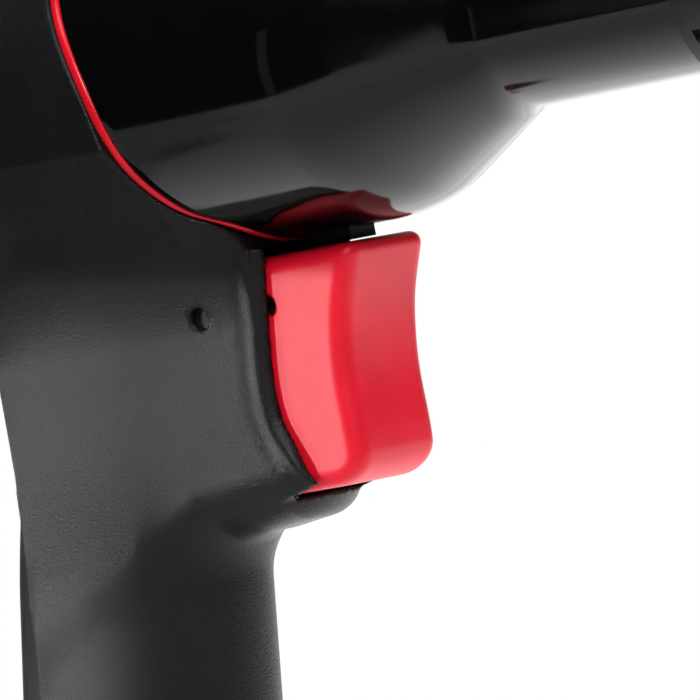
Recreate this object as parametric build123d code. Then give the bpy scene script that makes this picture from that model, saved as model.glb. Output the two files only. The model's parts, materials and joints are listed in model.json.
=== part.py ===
"""Pistol-grip fire hose nozzle: hose swivel, moulded grip, sliding trigger, slide valve, shroud and fog head.

Frame, in millimetres: +X runs along the water axis towards the spray, +Z is up, and the origin is the centre
of the mouth of the hose swivel.  The grip, trigger and handle hang below the axis in the XZ mid-plane.
"""

from build123d import *
import math
import os

# ---- driving dimensions: the body ----
REF = 150.0            # station along the axis that the grip and trigger are laid out from
BODY_R = 35.0          # outer radius of the glossy front shroud
GRIP_R = 35.2          # outer radius of the round part of the grip housing
WALL = 3.0             # moulded wall thickness
REAR_X = 52.0          # rear face of the grip housing
REAR_DOME = 14.0       # rounding of that rear face
BARREL_R = 18.3        # outer radius of the shroud where it sleeves the barrel
BARREL_END = 285.0     # front end of the shroud
SHOULDER_ANGLE = 27.0  # slope of the shroud's shoulder, in degrees
SHOULDER_START = REF + 39.0
SHOULDER_ROUND = 35.0  # rounding from the body into the shoulder
NECK_ROUND = 15.0      # rounding from the shoulder into the barrel

# ---- driving dimensions: the slanted joint between grip and shroud ----
TRIM_WIDTH = 2.2       # width of the red trim ring along X
TRIM_GAP = 0.15        # gap on each side of it
JOINT = [
    # side view of the joint's middle line: distance from REF, height
    (-28.0, 40.0),
    (-14.6, 18.0),
    (-6.5, 0.5),
    (-1.1, -17.0),
    (1.7, -22.0),
    (5.0, -26.1),
    (11.3, -30.4),
    (13.5, -40.0),
]

# ---- driving dimensions: the grip ----
CHEEK_FRONT = REF + 13.6
CHEEK_CENTRE = REF - 25.0
CHEEK_REAR = REF - 60.0
CHIN_BOTTOM = -93.0
CHIN_BACK = REF - 12.0
CHIN_TIP = REF + 15.3  # tip of the bow-shaped belly
CHIN_BOW = 12.0        # length of the bow's rounding
CHIN_RISE = 2.6        # how much the belly's underside rises towards the tip
CHIN_HALF = 15.6       # half-width of the chin
LIP_TIP = REF + 18.0   # front end of the thin walls beside the trigger's foot
LIP_FOOT = -85.8
OPENING_HALF = 13.4    # half-width of the trigger opening
OPENING_FLOOR = -87.0
OPENING_ARC = 16.0     # radius of the cheeks' front edge down to the chin
OPENING_RIM = REF + 12.2
OPENING_ARC_Z = -70.0
HANDLE_RAKE = 10.0     # degrees that the handle leans back
HANDLE_MID = REF - 45.2  # centre line of the handle at HANDLE_MID_Z
HANDLE_MID_Z = -100.0
HANDLE_SWELL = 0.04    # growth of the oval from there to the foot
HANDLE_BOTTOM = -150.0
HANDLE_DEPTH = 62.0
HANDLE_WIDTH = 39.0
BOSS_Y = 11.0          # sideways place of the base cap's screws
CAP_THICK = 6.9

# ---- driving dimensions: the trigger and its linkage ----
TRIGGER_HALF = 13.0
TRIGGER_TOP = -37.6
TRIGGER_BOTTOM = -86.3
ROD_Z = -47.5          # line of the trigger rod
TRAVEL = 8.0           # trigger travel, towards -X
STOP_PIN_X = REF - 3.2
CROSS_PIN_X = REF + 12.0
CRANK_X = REF - 25.0
CRANK_Z = -27.0
LOWER_ARM = CRANK_Z - ROD_Z
UPPER_ARM = 13.0
SPRING_Z = -66.0
SPRING_R = 4.6
SPRING_WIRE = 0.8      # half the thickness of the wire
SPRING_BACK = REF - 11.0
SPRING_FRONT = REF + 26.0
HALF_SWING = math.degrees(math.atan(TRAVEL / 2 / LOWER_ARM))
SLEEVE_X = CRANK_X - UPPER_ARM * math.tan(math.radians(HALF_SWING))

# ---- driving dimensions: the waterway ----
BORE_R = 9.5
TAIL_R = 13.5
THREAD_R = 15.15       # wall of the swivel's one-inch hose thread
THREAD_LENGTH = 15.0
RELIEF_R = 16.0        # undercut behind the thread
LUG_R = 30.0           # reach of the swivel's lugs
SCREW_CIRCLE = 20.0    # radius of the ring of collar screws
VALVE_R = 16.3         # inside radius of the valve chamber
VALVE_OUT = 19.5
SLEEVE_R = 12.0
TUBE_R = 14.2
FIT = 0.05             # radial clearance of a running fit

# ---- driving dimensions: the spray head ----
HEAD_FRONT = 400.0
RING_R = 29.0
BUMPER_R = 32.0
SHAPER_R = 18.8
BASE_R = 20.6          # outside of the fixed base, which the pattern ring turns on


def ring(x0, x1, outer, inner):
    """A plain ring around the water axis."""
    body = cyl_x(x0, x1, outer)
    return body - cyl_x(x0 - 1, x1 + 1, inner)


def cyl_x(x0, x1, radius, y=0.0, z=0.0):
    """A cylinder along X."""
    place = Plane(origin=(x0, y, z), x_dir=(0, 1, 0), z_dir=(1, 0, 0))
    return extrude(place * Circle(radius), amount=x1 - x0)


def cyl_y(x, z, radius, y0, y1):
    """A cylinder along Y."""
    place = Plane(origin=(x, y0, z), x_dir=(1, 0, 0), z_dir=(0, 1, 0))
    return extrude(place * Circle(radius), amount=y1 - y0)


def block(x0, x1, y0, y1, z0, z1):
    """A box between two corners."""
    centre = Location(((x0 + x1) / 2, (y0 + y1) / 2, (z0 + z1) / 2))
    return centre * Box(x1 - x0, y1 - y0, z1 - z0)


def turned(points):
    """A solid of revolution about the water axis, from (x, radius) corners."""
    outline = Polyline(*[(x, 0, r) for x, r in points], close=True)
    return revolve(make_face(outline), Axis.X, 360)


def side_slab(edges, half_width):
    """A side profile in the XZ plane, given thickness to both sides of the mid-plane."""
    return extrude(make_face(edges), amount=half_width, both=True)


def on_side(x, z):
    return (x, 0, z)


def side_arc(x, z, radius, start, end):
    """An arc in the XZ plane about (x, z), between two angles measured from +X towards +Z."""
    angles = [math.radians(start), math.radians((start + end) / 2), math.radians(end)]
    return ThreePointArc(*[on_side(x + radius * math.cos(a), z + radius * math.sin(a)) for a in angles])


def around_axis(count, start=0.0):
    """Angles of equally spaced repeats around the water axis."""
    return [start + 360.0 / count * i for i in range(count)]


def turned_about_x(shape, angle):
    return shape.rotate(Axis.X, angle)


# ---- the slanted joint ----
def joint_curve(shift):
    """The joint's side view: it leans back towards the top and sweeps forward under the body."""
    return Spline(*[on_side(REF + x + shift, z) for x, z in JOINT])


def behind_joint(shift):
    """Everything behind the joint, as a slab that a part is cut with."""
    curve = joint_curve(shift)
    top = curve @ 0
    bottom = curve @ 1
    edges = curve + Polyline(
        (bottom.X, 0, bottom.Z),
        (bottom.X, 0, -170.0),
        (-60.0, 0, -170.0),
        (-60.0, 0, 40.0),
        (top.X, 0, top.Z),
    )
    return side_slab(edges, 60.0)


# ---- the grip housing ----
def plan_section(z, front, rear, centre, half_width, front_power, rear_power=2.2, count=28):
    """One level of the grip: a rounded outline, squarer at the front than at the back."""
    points = []
    for i in range(count):
        turn = 2 * math.pi * i / count
        c = math.cos(turn)
        s = math.sin(turn)
        power = front_power if c > 0 else rear_power
        reach = (front - centre) if c > 0 else (centre - rear)
        x = centre + math.copysign(abs(c) ** (2 / power), c) * reach
        y = math.copysign(abs(s) ** (2 / power), s) * half_width
        points.append((x, y, z))
    return make_face(Spline(*points, periodic=True))


def cheeks(inset):
    """The part of the grip under the body that holds the trigger."""
    levels = [
        # height, half-width, squareness of the front
        (-12.0, 32.6, 3.0),
        (-20.0, 30.2, 3.3),
        (-27.0, 27.2, 3.5),
        (-33.0, 24.0, 4.0),
        (-40.0, 20.6, 4.8),
        (-48.0, 18.0, 5.6),
        (-58.0, 17.0, 6.0),
        (-74.0, 16.8, 6.0),
        (CHIN_BOTTOM + inset, 16.8, 5.0),
    ]
    sections = []
    for z, half_width, power in levels:
        lean = -z * math.tan(math.radians(HANDLE_RAKE)) * 0.5
        sections.append(
            plan_section(
                z,
                CHEEK_FRONT - inset,
                CHEEK_REAR + inset - lean,
                CHEEK_CENTRE - lean / 2,
                half_width - inset,
                power,
            )
        )
    return loft(sections)


def handle_centre(z):
    """Where the raked handle's centre line stands at one height."""
    return HANDLE_MID + (z - HANDLE_MID_Z) * math.tan(math.radians(HANDLE_RAKE))


def handle(inset, bottom):
    """The raked hand grip, an oval section from inside the body down to its base."""
    sections = []
    for z in (-20.0, -60.0, -100.0, -130.0, bottom):
        centre = handle_centre(z)
        swell = 1.0 + HANDLE_SWELL * (z - HANDLE_MID_Z) / (HANDLE_BOTTOM - HANDLE_MID_Z)
        depth = HANDLE_DEPTH * swell
        width = HANDLE_WIDTH * swell
        oval = Ellipse(depth / 2 - inset, width / 2 - inset)
        sections.append(Location((centre, 0, z)) * oval)
    return loft(sections)


def chin():
    """The nose under the trigger: two thin walls beside the trigger's foot, on a bow-shaped belly."""
    walls = block(CHIN_BACK, LIP_TIP, -CHIN_HALF, CHIN_HALF, LIP_FOOT, OPENING_ARC_Z)
    walls = fillet(walls.edges().filter_by(Axis.Z).sort_by(Axis.X)[-2:], 2.5)
    walls -= cyl_y(OPENING_RIM + OPENING_ARC, OPENING_ARC_Z, OPENING_ARC, -20, 20)
    bow_centre = CHIN_TIP - CHIN_BOW
    plan = Location((bow_centre, 0, CHIN_BOTTOM - 1)) * Ellipse(CHIN_BOW, CHIN_HALF)
    back = block(CHIN_BACK, bow_centre, -CHIN_HALF, CHIN_HALF, CHIN_BOTTOM - 1, LIP_FOOT)
    belly = extrude(plan, amount=LIP_FOOT - CHIN_BOTTOM + 1) + back
    profile = Polyline(
        on_side(CHIN_BACK, CHIN_BOTTOM),
        on_side(CHIN_TIP + 1, CHIN_BOTTOM + CHIN_RISE),
        on_side(CHIN_TIP + 1, LIP_FOOT),
        on_side(CHIN_BACK, LIP_FOOT),
        close=True,
    )
    belly &= side_slab(profile, CHIN_HALF + 1)
    under = belly.faces().sort_by(Axis.Z)[0]
    rims = [e for e in under.edges() if e.center().X > CHIN_BACK + 1]
    return fillet(rims, 4.0) + walls


def round_body(radius, rear, front, dome):
    """The round upper part, domed at the back."""
    edges = Polyline((rear + dome, 0, radius), (front, 0, radius), (front, 0, 0), (rear, 0, 0))
    edges += Polyline((rear, 0, 0), (rear, 0, radius - dome))
    edges += side_arc(rear + dome, radius - dome, dome, 180, 90)
    return revolve(make_face(edges), Axis.X, 360)


def grip_housing():
    outside = round_body(GRIP_R, REAR_X, REF + 30, REAR_DOME)
    outside += cheeks(0.0)
    outside += handle(0.0, HANDLE_BOTTOM)
    outside += chin()
    inside = round_body(GRIP_R - WALL, REAR_X + 5.0, REF + 40, REAR_DOME - 3.0)
    inside += cheeks(WALL)
    inside += handle(WALL, HANDLE_BOTTOM - 1)
    shell = outside - inside
    shell &= behind_joint(-TRIM_WIDTH / 2 - TRIM_GAP) + block(-60, REF + 40, -60, 60, -170, -35.6)
    shell -= cyl_x(REF - 40, REF + 60, BODY_R + 0.3) & block(REF + 8, REF + 60, -60, 60, -60, 60)
    shell -= block(REF - 12, REF + 30, -OPENING_HALF, OPENING_HALF, OPENING_FLOOR, -35.4)
    shell += support_rib()
    shell += trigger_bridge()
    shell -= cyl_x(REAR_X - 2, REAR_X + 8, TAIL_R + 0.3)
    shell -= cyl_y(STOP_PIN_X, ROD_Z, 2.25, -30, 30)
    for angle in around_axis(4, 45):
        shell -= turned_about_x(cyl_x(REAR_X - 2, REAR_X + 8, 1.55, 0, SCREW_CIRCLE), angle)
    for y in (-BOSS_Y, BOSS_Y):
        shell += base_boss(y)
    return shell


def support_rib():
    """A bulkhead inside the housing that carries the valve body."""
    rib = ring(REF - 58, REF - 55, GRIP_R - 2.0, VALVE_OUT + 0.05)
    return rib - block(REF - 60, REF - 50, -60, 60, -60, -24)


def trigger_bridge():
    """A wall across the inside of the grip: the rod slides in it and the return spring pushes on it."""
    wall = block(SPRING_BACK - 3, SPRING_BACK, -20.0, 20.0, -74, -41.5) & cheeks(1.5)
    return wall - block(SPRING_BACK - 5, SPRING_BACK + 2, -3.05, 3.05, ROD_Z - 5.05, ROD_Z + 5.05)


def base_boss(y):
    """A post in the foot of the handle for a base cap screw."""
    x = handle_centre(HANDLE_BOTTOM)
    post = Location((x, y, HANDLE_BOTTOM + 9)) * Cylinder(4.0, 18.0)
    post -= Location((x, y, HANDLE_BOTTOM + 6)) * Cylinder(1.55, 14.0)
    web = block(x - 1.2, x + 1.2, min(y, y * 1.75), max(y, y * 1.75), HANDLE_BOTTOM, HANDLE_BOTTOM + 18)
    web -= Location((x, y, HANDLE_BOTTOM + 6)) * Cylinder(2.0, 40.0)
    web &= handle(0.5, HANDLE_BOTTOM - 1)
    return post + web


# ---- trim ring and shroud ----
def trim_ring():
    band = behind_joint(TRIM_WIDTH / 2) - behind_joint(-TRIM_WIDTH / 2)
    return ring(REF - 60, REF + 40, GRIP_R + 0.05, BODY_R - WALL) & band


def shoulder_points(offset=0.0):
    """Key points of the shroud's outline, moved inwards by an offset: (x, radius) pairs."""
    slope = math.radians(SHOULDER_ANGLE)
    top_round = SHOULDER_ROUND - offset
    neck_round = NECK_ROUND + offset
    body = BODY_R - offset
    barrel = BARREL_R - offset
    x0 = SHOULDER_START
    a = (x0, body)
    b = (x0 + top_round * math.sin(slope), body - top_round * (1 - math.cos(slope)))
    neck_drop = neck_round * (1 - math.cos(slope))
    run = (b[1] - barrel - neck_drop) / math.tan(slope)
    c = (b[0] + run, barrel + neck_drop)
    d = (c[0] + neck_round * math.sin(slope), barrel)
    half = slope / 2
    ab = (x0 + top_round * math.sin(half), body - top_round * (1 - math.cos(half)))
    cd = (d[0] - neck_round * math.sin(half), barrel + neck_round * (1 - math.cos(half)))
    return a, ab, b, c, cd, d


def shroud_solid(offset, rear, front):
    a, ab, b, c, cd, d = [(x, 0, r) for x, r in shoulder_points(offset)]
    edges = Polyline((rear, 0, BODY_R - offset), a)
    edges += ThreePointArc(a, ab, b)
    edges += Polyline(b, c)
    edges += ThreePointArc(c, cd, d)
    edges += Polyline(d, (front, 0, BARREL_R - offset), (front, 0, 0), (rear, 0, 0))
    edges += Polyline((rear, 0, 0), (rear, 0, BODY_R - offset))
    return revolve(make_face(edges), Axis.X, 360)


def front_shroud():
    shell = shroud_solid(0.0, REF - 60, BARREL_END) - shroud_solid(WALL - 0.3, REF - 61, BARREL_END + 1)
    shell -= behind_joint(TRIM_WIDTH / 2 + TRIM_GAP)
    rib = ring(REF + 14, REF + 17, BODY_R - 2, VALVE_OUT + 0.05)
    return shell + (rib - behind_joint(TRIM_WIDTH / 2 + TRIM_GAP))


def trigger_tongue():
    """A short guide under the shroud, above the trigger."""
    tab = block(REF + 18.0, REF + 30.0, -4.0, 4.0, -37.2, -33.0)
    return tab - cyl_x(REF, REF + 40, BODY_R + 0.02)


# ---- trigger group ----
def trigger():
    front = Spline(
        on_side(REF + 35.6, -41.0),
        on_side(REF + 31.2, -53.7),
        on_side(REF + 29.5, -66.0),
        on_side(REF + 29.4, -79.0),
    )
    edges = front + Polyline(
        on_side(REF + 29.4, -79.0),
        on_side(REF + 27.6, TRIGGER_BOTTOM),
        on_side(REF + 7.0, TRIGGER_BOTTOM),
        on_side(REF + 7.0, TRIGGER_TOP),
        on_side(REF + 35.0, TRIGGER_TOP),
        on_side(REF + 35.6, -41.0),
    )
    solid = side_slab(edges, TRIGGER_HALF)
    front_edges = [e for e in solid.edges() if e.center().X > REF + 25]
    rims = [e for e in front_edges if abs(abs(e.center().Y) - TRIGGER_HALF) < 0.05]
    solid = fillet(rims, 2.4)
    hollow = block(REF + 5, REF + 26, -10.5, 10.5, -82.5, ROD_Z - 6.5)
    solid -= hollow
    solid -= block(REF + 5, REF + 17.5, -3.05, 3.05, ROD_Z - 5.05, ROD_Z + 5.05)
    solid -= cyl_y(CROSS_PIN_X, ROD_Z, 2.4, -20, 20)
    solid += cyl_x(REF + 8, REF + 26.5, 2.8, 0, SPRING_Z)
    return solid


def trigger_rod():
    """A flat bar with a slot for the stop pin."""
    bar = block(REF - 25, REF + 17.2, -3.0, 3.0, ROD_Z - 5, ROD_Z + 5)
    slot = block(STOP_PIN_X, STOP_PIN_X + TRAVEL, -5, 5, ROD_Z - 2.35, ROD_Z + 2.35)
    slot += cyl_y(STOP_PIN_X, ROD_Z, 2.35, -5, 5)
    slot += cyl_y(STOP_PIN_X + TRAVEL, ROD_Z, 2.35, -5, 5)
    bar -= slot
    bar -= cyl_y(CROSS_PIN_X, ROD_Z, 2.25, -5, 5)
    bar -= cyl_y(CRANK_X + TRAVEL / 2, ROD_Z, 1.95, -5, 5)
    return bar


def trigger_cross_pin():
    return cyl_y(CROSS_PIN_X, ROD_Z, 2.24, -10.5, 10.5)


def rod_end_pin():
    return cyl_y(CRANK_X + TRAVEL / 2, ROD_Z, 1.94, -11.8, 11.8)


def housing_stop_pin():
    return cyl_y(STOP_PIN_X, ROD_Z, 2.2, -15.0, 15.0)


def return_spring():
    """A helical compression spring between the bridge in the grip and the back of the trigger."""
    length = SPRING_FRONT - SPRING_BACK - 2 * SPRING_WIRE
    coils = 7
    path = Helix(pitch=length / coils, height=length, radius=SPRING_R)
    start = path @ 0
    section = Plane(origin=start, z_dir=path % 0) * Circle(SPRING_WIRE)
    coil = sweep(section, path=path, is_frenet=True)
    place = Plane(origin=(SPRING_BACK + SPRING_WIRE, 0, SPRING_Z), x_dir=(0, 1, 0), z_dir=(1, 0, 0))
    return place.location * coil


# ---- valve linkage ----
def crank_turned(shape):
    """Leans a crank part from upright to where it stands with the trigger released."""
    return shape.rotate(Axis((CRANK_X, 0, CRANK_Z), (0, 1, 0)), -HALF_SWING)


def crank_shaft():
    shaft = cyl_y(CRANK_X, CRANK_Z, 2.5, -12.0, 12.0)
    flat = block(CRANK_X - 3, CRANK_X + 3, 8.6, 13, CRANK_Z + 2.0, CRANK_Z + 3)
    return crank_turned(shaft - flat)


def crank_arm(side):
    """The outer arm: it hangs from the shaft, and its slot takes the pin of the rod."""
    y0 = 9.0 if side > 0 else -11.5
    y1 = y0 + 2.5
    arm = cyl_y(CRANK_X, CRANK_Z, 5.5, y0, y1)
    arm += cyl_y(CRANK_X, CRANK_Z - LOWER_ARM, 5.0, y0, y1)
    arm += block(CRANK_X - 4.2, CRANK_X + 4.2, y0, y1, CRANK_Z - LOWER_ARM, CRANK_Z)
    arm -= cyl_y(CRANK_X, CRANK_Z, 2.51, y0 - 1, y1 + 1)
    slot = block(CRANK_X - 2.25, CRANK_X + 2.25, y0 - 1, y1 + 1, ROD_Z - 1.2, ROD_Z + 1.2)
    slot += cyl_y(CRANK_X, ROD_Z - 1.2, 2.25, y0 - 1, y1 + 1)
    slot += cyl_y(CRANK_X, ROD_Z + 1.2, 2.25, y0 - 1, y1 + 1)
    return crank_turned(arm - slot)


def crank_finger():
    """The inner finger: it stands up from the shaft into the groove of the valve sleeve."""
    hub = cyl_y(CRANK_X, CRANK_Z, 4.6, -3.0, 3.0)
    hub += block(CRANK_X - 1.3, CRANK_X + 1.3, -2.5, 2.5, CRANK_Z, CRANK_Z + UPPER_ARM)
    hub += cyl_y(CRANK_X, CRANK_Z + UPPER_ARM, 2.0, -2.5, 2.5)
    hub -= cyl_y(CRANK_X, CRANK_Z, 2.51, -5, 5)
    return crank_turned(hub)


def valve_sleeve():
    """The tube that opens and closes the waterway, with a grooved collar for the finger."""
    sleeve = cyl_x(99.2, REF, SLEEVE_R)
    sleeve += cyl_x(SLEEVE_X - 5.4, SLEEVE_X + 5.4, VALVE_R - FIT)
    sleeve -= ring(SLEEVE_X - 2.2, SLEEVE_X + 2.2, 20.0, SLEEVE_R - 0.2)
    sleeve -= cyl_x(90, REF + 5, BORE_R)
    sleeve -= ring(REF - 6.2, REF - 4.0, SLEEVE_R + 1, SLEEVE_R - 1.2)
    return sleeve


def sleeve_seal():
    return ring(REF - 6.1, REF - 4.1, SLEEVE_R + 0.03, SLEEVE_R - 1.15)


def valve_body():
    """The chamber around the sleeve, with a pocket below that holds the crank shaft."""
    body = cyl_x(84.0, 168.0, VALVE_OUT)
    body += block(CRANK_X - 10, CRANK_X + 10, -8.2, 8.2, -33.0, -12.0)
    body -= cyl_x(80.0, 160.0, VALVE_R)
    body -= cyl_x(150.0, 170.0, TUBE_R + 0.03)
    body -= block(CRANK_X - 7.5, CRANK_X + 7.5, -5.4, 5.4, -34.0, -10.0)
    body -= cyl_y(CRANK_X, CRANK_Z, 2.5 + FIT, -12, 12)
    for y in (-8.2, 6.4):
        body -= cyl_y(CRANK_X, CRANK_Z, 3.9, y, y + 1.8)
    return body


def shaft_seal(side):
    y0 = 6.45 if side > 0 else -8.15
    seal = cyl_y(CRANK_X, CRANK_Z, 3.85, y0, y0 + 1.7)
    return seal - cyl_y(CRANK_X, CRANK_Z, 2.5 + FIT, y0 - 1, y0 + 3)


def pocket_cap():
    """The plate that closes the pocket from below."""
    plate = block(CRANK_X - 10, CRANK_X + 10, -8.2, 8.2, -35.0, -33.0)
    return plate + block(CRANK_X - 7.4, CRANK_X + 7.4, -5.3, 5.3, -33.0, -31.9)


def valve_seat():
    """A plug in the middle of the chamber, held by three legs, that the sleeve closes against."""
    seat = cyl_x(92.0, 97.5, 12.6)
    seat += ring(91.0, 96.0, VALVE_R - 0.02, VALVE_R - 1.8)
    for angle in around_axis(3):
        seat += turned_about_x(block(92.0, 95.5, -1.5, 1.5, 11.0, VALVE_R - 1.0), angle)
    return seat


def seat_seal():
    return ring(97.5, 99.1, 12.6, 8.0)


# ---- hose inlet ----
def inlet_tail():
    tail = turned([
        (18.3, 15.0),
        (22.0, 15.0),
        (22.0, TAIL_R),
        (57.1, TAIL_R),
        (57.1, 17.5),
        (84.0, 17.5),
        (84.0, VALVE_R - 0.02),
        (90.8, VALVE_R - 0.02),
        (90.8, BORE_R),
        (18.3, BORE_R),
    ])
    return tail - cyl_x(18.0, 20.4, 11.8)


def inlet_strainer():
    """A thin perforated disc in the mouth of the tail."""
    disc = cyl_x(18.9, 20.3, 11.75)
    disc -= cyl_x(18, 21, 0.9)
    for count, radius in ((6, 3.6), (12, 7.0)):
        for angle in around_axis(count):
            disc -= turned_about_x(cyl_x(18, 21, 1.1, 0, radius), angle)
    return disc


def inlet_gasket():
    return ring(15.8, 18.25, 14.9, 10.5)


def swivel_nut():
    """The hose coupling: a threaded socket that turns freely on the tail, with three lugs."""
    nut = turned([
        (0.0, THREAD_R),
        (0.0, 23.0),
        (1.5, 24.5),
        (30.0, 24.5),
        (36.0, 19.0),
        (36.0, TAIL_R + FIT),
        (22.2, TAIL_R + FIT),
        (22.2, RELIEF_R),
        (THREAD_LENGTH, RELIEF_R),
        (THREAD_LENGTH, THREAD_R),
    ])
    for angle in (90, 210, 330):
        lug = block(4.0, 18.0, -5.0, 5.0, 20.0, LUG_R)
        lug = fillet(lug.edges().filter_by(Axis.X).sort_by(Axis.Z)[-2:], 2.5)
        lug -= cyl_x(0, 20, 20.0)
        nut += turned_about_x(lug, angle)
    for angle in around_axis(24):
        nut -= turned_about_x(cyl_x(20.0, 31.0, 1.2, 0, 25.0), angle)
    return nut


def rear_collar():
    """The ring that clamps the tail to the back of the grip."""
    collar = turned([
        (43.5, TAIL_R + 0.02),
        (43.5, 20.0),
        (47.0, 24.5),
        (REAR_X - 0.02, 24.5),
        (REAR_X - 0.02, TAIL_R + 0.02),
    ])
    for angle in around_axis(4, 45):
        collar -= turned_about_x(cyl_x(40, REAR_X + 1, 1.6, 0, SCREW_CIRCLE), angle)
        collar -= turned_about_x(cyl_x(40, 48.5, 2.9, 0, SCREW_CIRCLE), angle)
    return collar


def collar_screw(index):
    """A cap screw with a hexagon socket."""
    head = cyl_x(45.6, 48.5, 2.75, 0, SCREW_CIRCLE)
    head += cyl_x(48.0, REAR_X + 4.6, 1.5, 0, SCREW_CIRCLE)
    socket_place = Plane(origin=(45.0, 0, SCREW_CIRCLE), x_dir=(0, 1, 0), z_dir=(1, 0, 0))
    head -= extrude(socket_place * RegularPolygon(1.5, 6), amount=2.2)
    return turned_about_x(head, 45 + 90 * index)


# ---- barrel and spray head ----
def barrel_tube():
    tube = ring(REF - 6.5, 318.0, TUBE_R, BORE_R)
    tube -= cyl_x(REF - 8, REF + 8, SLEEVE_R + FIT)
    return tube


def head_base():
    """The fixed base of the spray head, screwed on the front of the barrel."""
    return turned([
        (BARREL_END + 0.1, TUBE_R + 0.02),
        (BARREL_END + 0.1, 19.0),
        (300.0, 19.0),
        (300.0, 22.0),
        (307.0, 24.0),
        (309.5, 24.0),
        (309.5, BASE_R),
        (314.0, BASE_R),
        (314.0, 22.6),
        (318.0, 22.6),
        (318.0, BASE_R),
        (338.0, BASE_R),
        (338.0, SHAPER_R + FIT),
        (319.0, SHAPER_R + FIT),
        (319.0, TUBE_R + 0.02),
    ])


def base_nut():
    """The locking ring between shroud and head, with a slot for a hook spanner every 60 degrees."""
    nut = ring(286.0, 299.8, 22.6, 19.05)
    for angle in around_axis(6):
        nut -= turned_about_x(cyl_x(289.0, 297.0, 1.6, 0, 23.0), angle)
    return nut


def stem_spider():
    """Three legs and a hub that hold the baffle stem in the middle of the water."""
    spider = cyl_x(319.1, 323.0, 4.5) + ring(319.1, 323.0, SHAPER_R, 16.6)
    for angle in around_axis(3, 30):
        spider += turned_about_x(block(319.1, 323.0, -1.3, 1.3, 3.0, 18.5), angle)
    spider -= cyl_x(310, 330, 2.52)
    return spider


def baffle_stem():
    stem = cyl_x(316.0, 391.5, 2.5)
    stem += cyl_x(315.0, 319.0, 4.4)
    return stem


def baffle():
    """The round deflector that shapes the cone of water."""
    disc = turned([
        (374.0, 2.52),
        (374.0, 5.0),
        (382.0, 11.0),
        (386.0, 12.2),
        (388.0, 12.2),
        (389.0, 11.2),
        (389.0, 2.52),
    ])
    return disc


def baffle_nut():
    place = Plane(origin=(389.02, 0, 0), x_dir=(0, 1, 0), z_dir=(1, 0, 0))
    nut = extrude(place * RegularPolygon(4.2, 6), amount=2.4)
    return nut - cyl_x(388, 392, 2.52)


def shaper_sleeve():
    """The inner sleeve that slides forward as the pattern ring turns; a key stops it from turning."""
    return turned([
        (325.0, 15.4),
        (325.0, SHAPER_R),
        (372.0, SHAPER_R),
        (372.0, 17.6),
        (384.0, 16.8),
        (384.0, 14.4),
        (378.0, 13.6),
        (366.0, 14.4),
        (350.0, 15.4),
    ])


def pattern_ring():
    """The outer ring that the user turns from straight stream to fog, with grip flutes and a pointer."""
    shell = turned([
        (309.8, BASE_R + FIT),
        (309.8, 26.0),
        (313.0, 28.0),
        (360.0, RING_R),
        (366.0, 27.0),
        (384.0, 27.0),
        (384.0, 22.5),
        (375.0, SHAPER_R + 0.5),
        (344.0, SHAPER_R + 0.5),
        (344.0, BASE_R + FIT),
        (318.2, BASE_R + FIT),
        (318.2, 22.6 + FIT),
        (313.8, 22.6 + FIT),
        (313.8, BASE_R + FIT),
    ])
    for angle in around_axis(18):
        shell -= turned_about_x(cyl_x(320.0, 357.0, 1.6, 0, RING_R + 0.3), angle)
    return shell + block(313.5, 319.0, -1.5, 1.5, 26.0, 29.6)


def bumper():
    """The rubber front with its ring of fog teeth."""
    cover = turned([
        (366.3, 27.05),
        (366.3, 30.0),
        (370.0, BUMPER_R),
        (394.0, BUMPER_R),
        (HEAD_FRONT, 28.5),
        (HEAD_FRONT, 23.5),
        (396.0, 22.5),
        (384.2, 22.5),
        (384.2, 27.05),
    ])
    for angle in around_axis(20):
        tooth = turned_about_x(block(390.0, 397.5, -1.4, 1.4, 20.4, 23.4), angle)
        cover += tooth
    for angle in around_axis(8, 22.5):
        cover -= turned_about_x(cyl_x(372.0, 392.0, 3.0, 0, BUMPER_R + 1.6), angle)
    return cover


# ---- foot of the handle ----
FOOT_X = handle_centre(HANDLE_BOTTOM)


def base_cap():
    grown = 1.0 + HANDLE_SWELL
    oval = Ellipse(HANDLE_DEPTH * grown / 2 + 0.6, HANDLE_WIDTH * grown / 2 + 0.6)
    cap = extrude(Location((FOOT_X, 0, HANDLE_BOTTOM - 7.0)) * oval, amount=CAP_THICK)
    cap = fillet(cap.faces().sort_by(Axis.Z)[0].edges(), 3.0)
    for y in (-BOSS_Y, BOSS_Y):
        cap -= Location((FOOT_X, y, HANDLE_BOTTOM)) * Cylinder(1.6, 20.0)
        cap -= Location((FOOT_X, y, HANDLE_BOTTOM - 7.0)) * Cylinder(3.0, 6.0)
    return cap


def base_screw(y):
    screw = Location((FOOT_X, y, HANDLE_BOTTOM - 5.2)) * Cylinder(2.8, 2.2)
    screw += Location((FOOT_X, y, HANDLE_BOTTOM + 1.4)) * Cylinder(1.5, 12.0)
    slot = Location((FOOT_X, y, HANDLE_BOTTOM - 6.3)) * Box(0.8, 6.0, 1.6)
    return screw - slot


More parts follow.
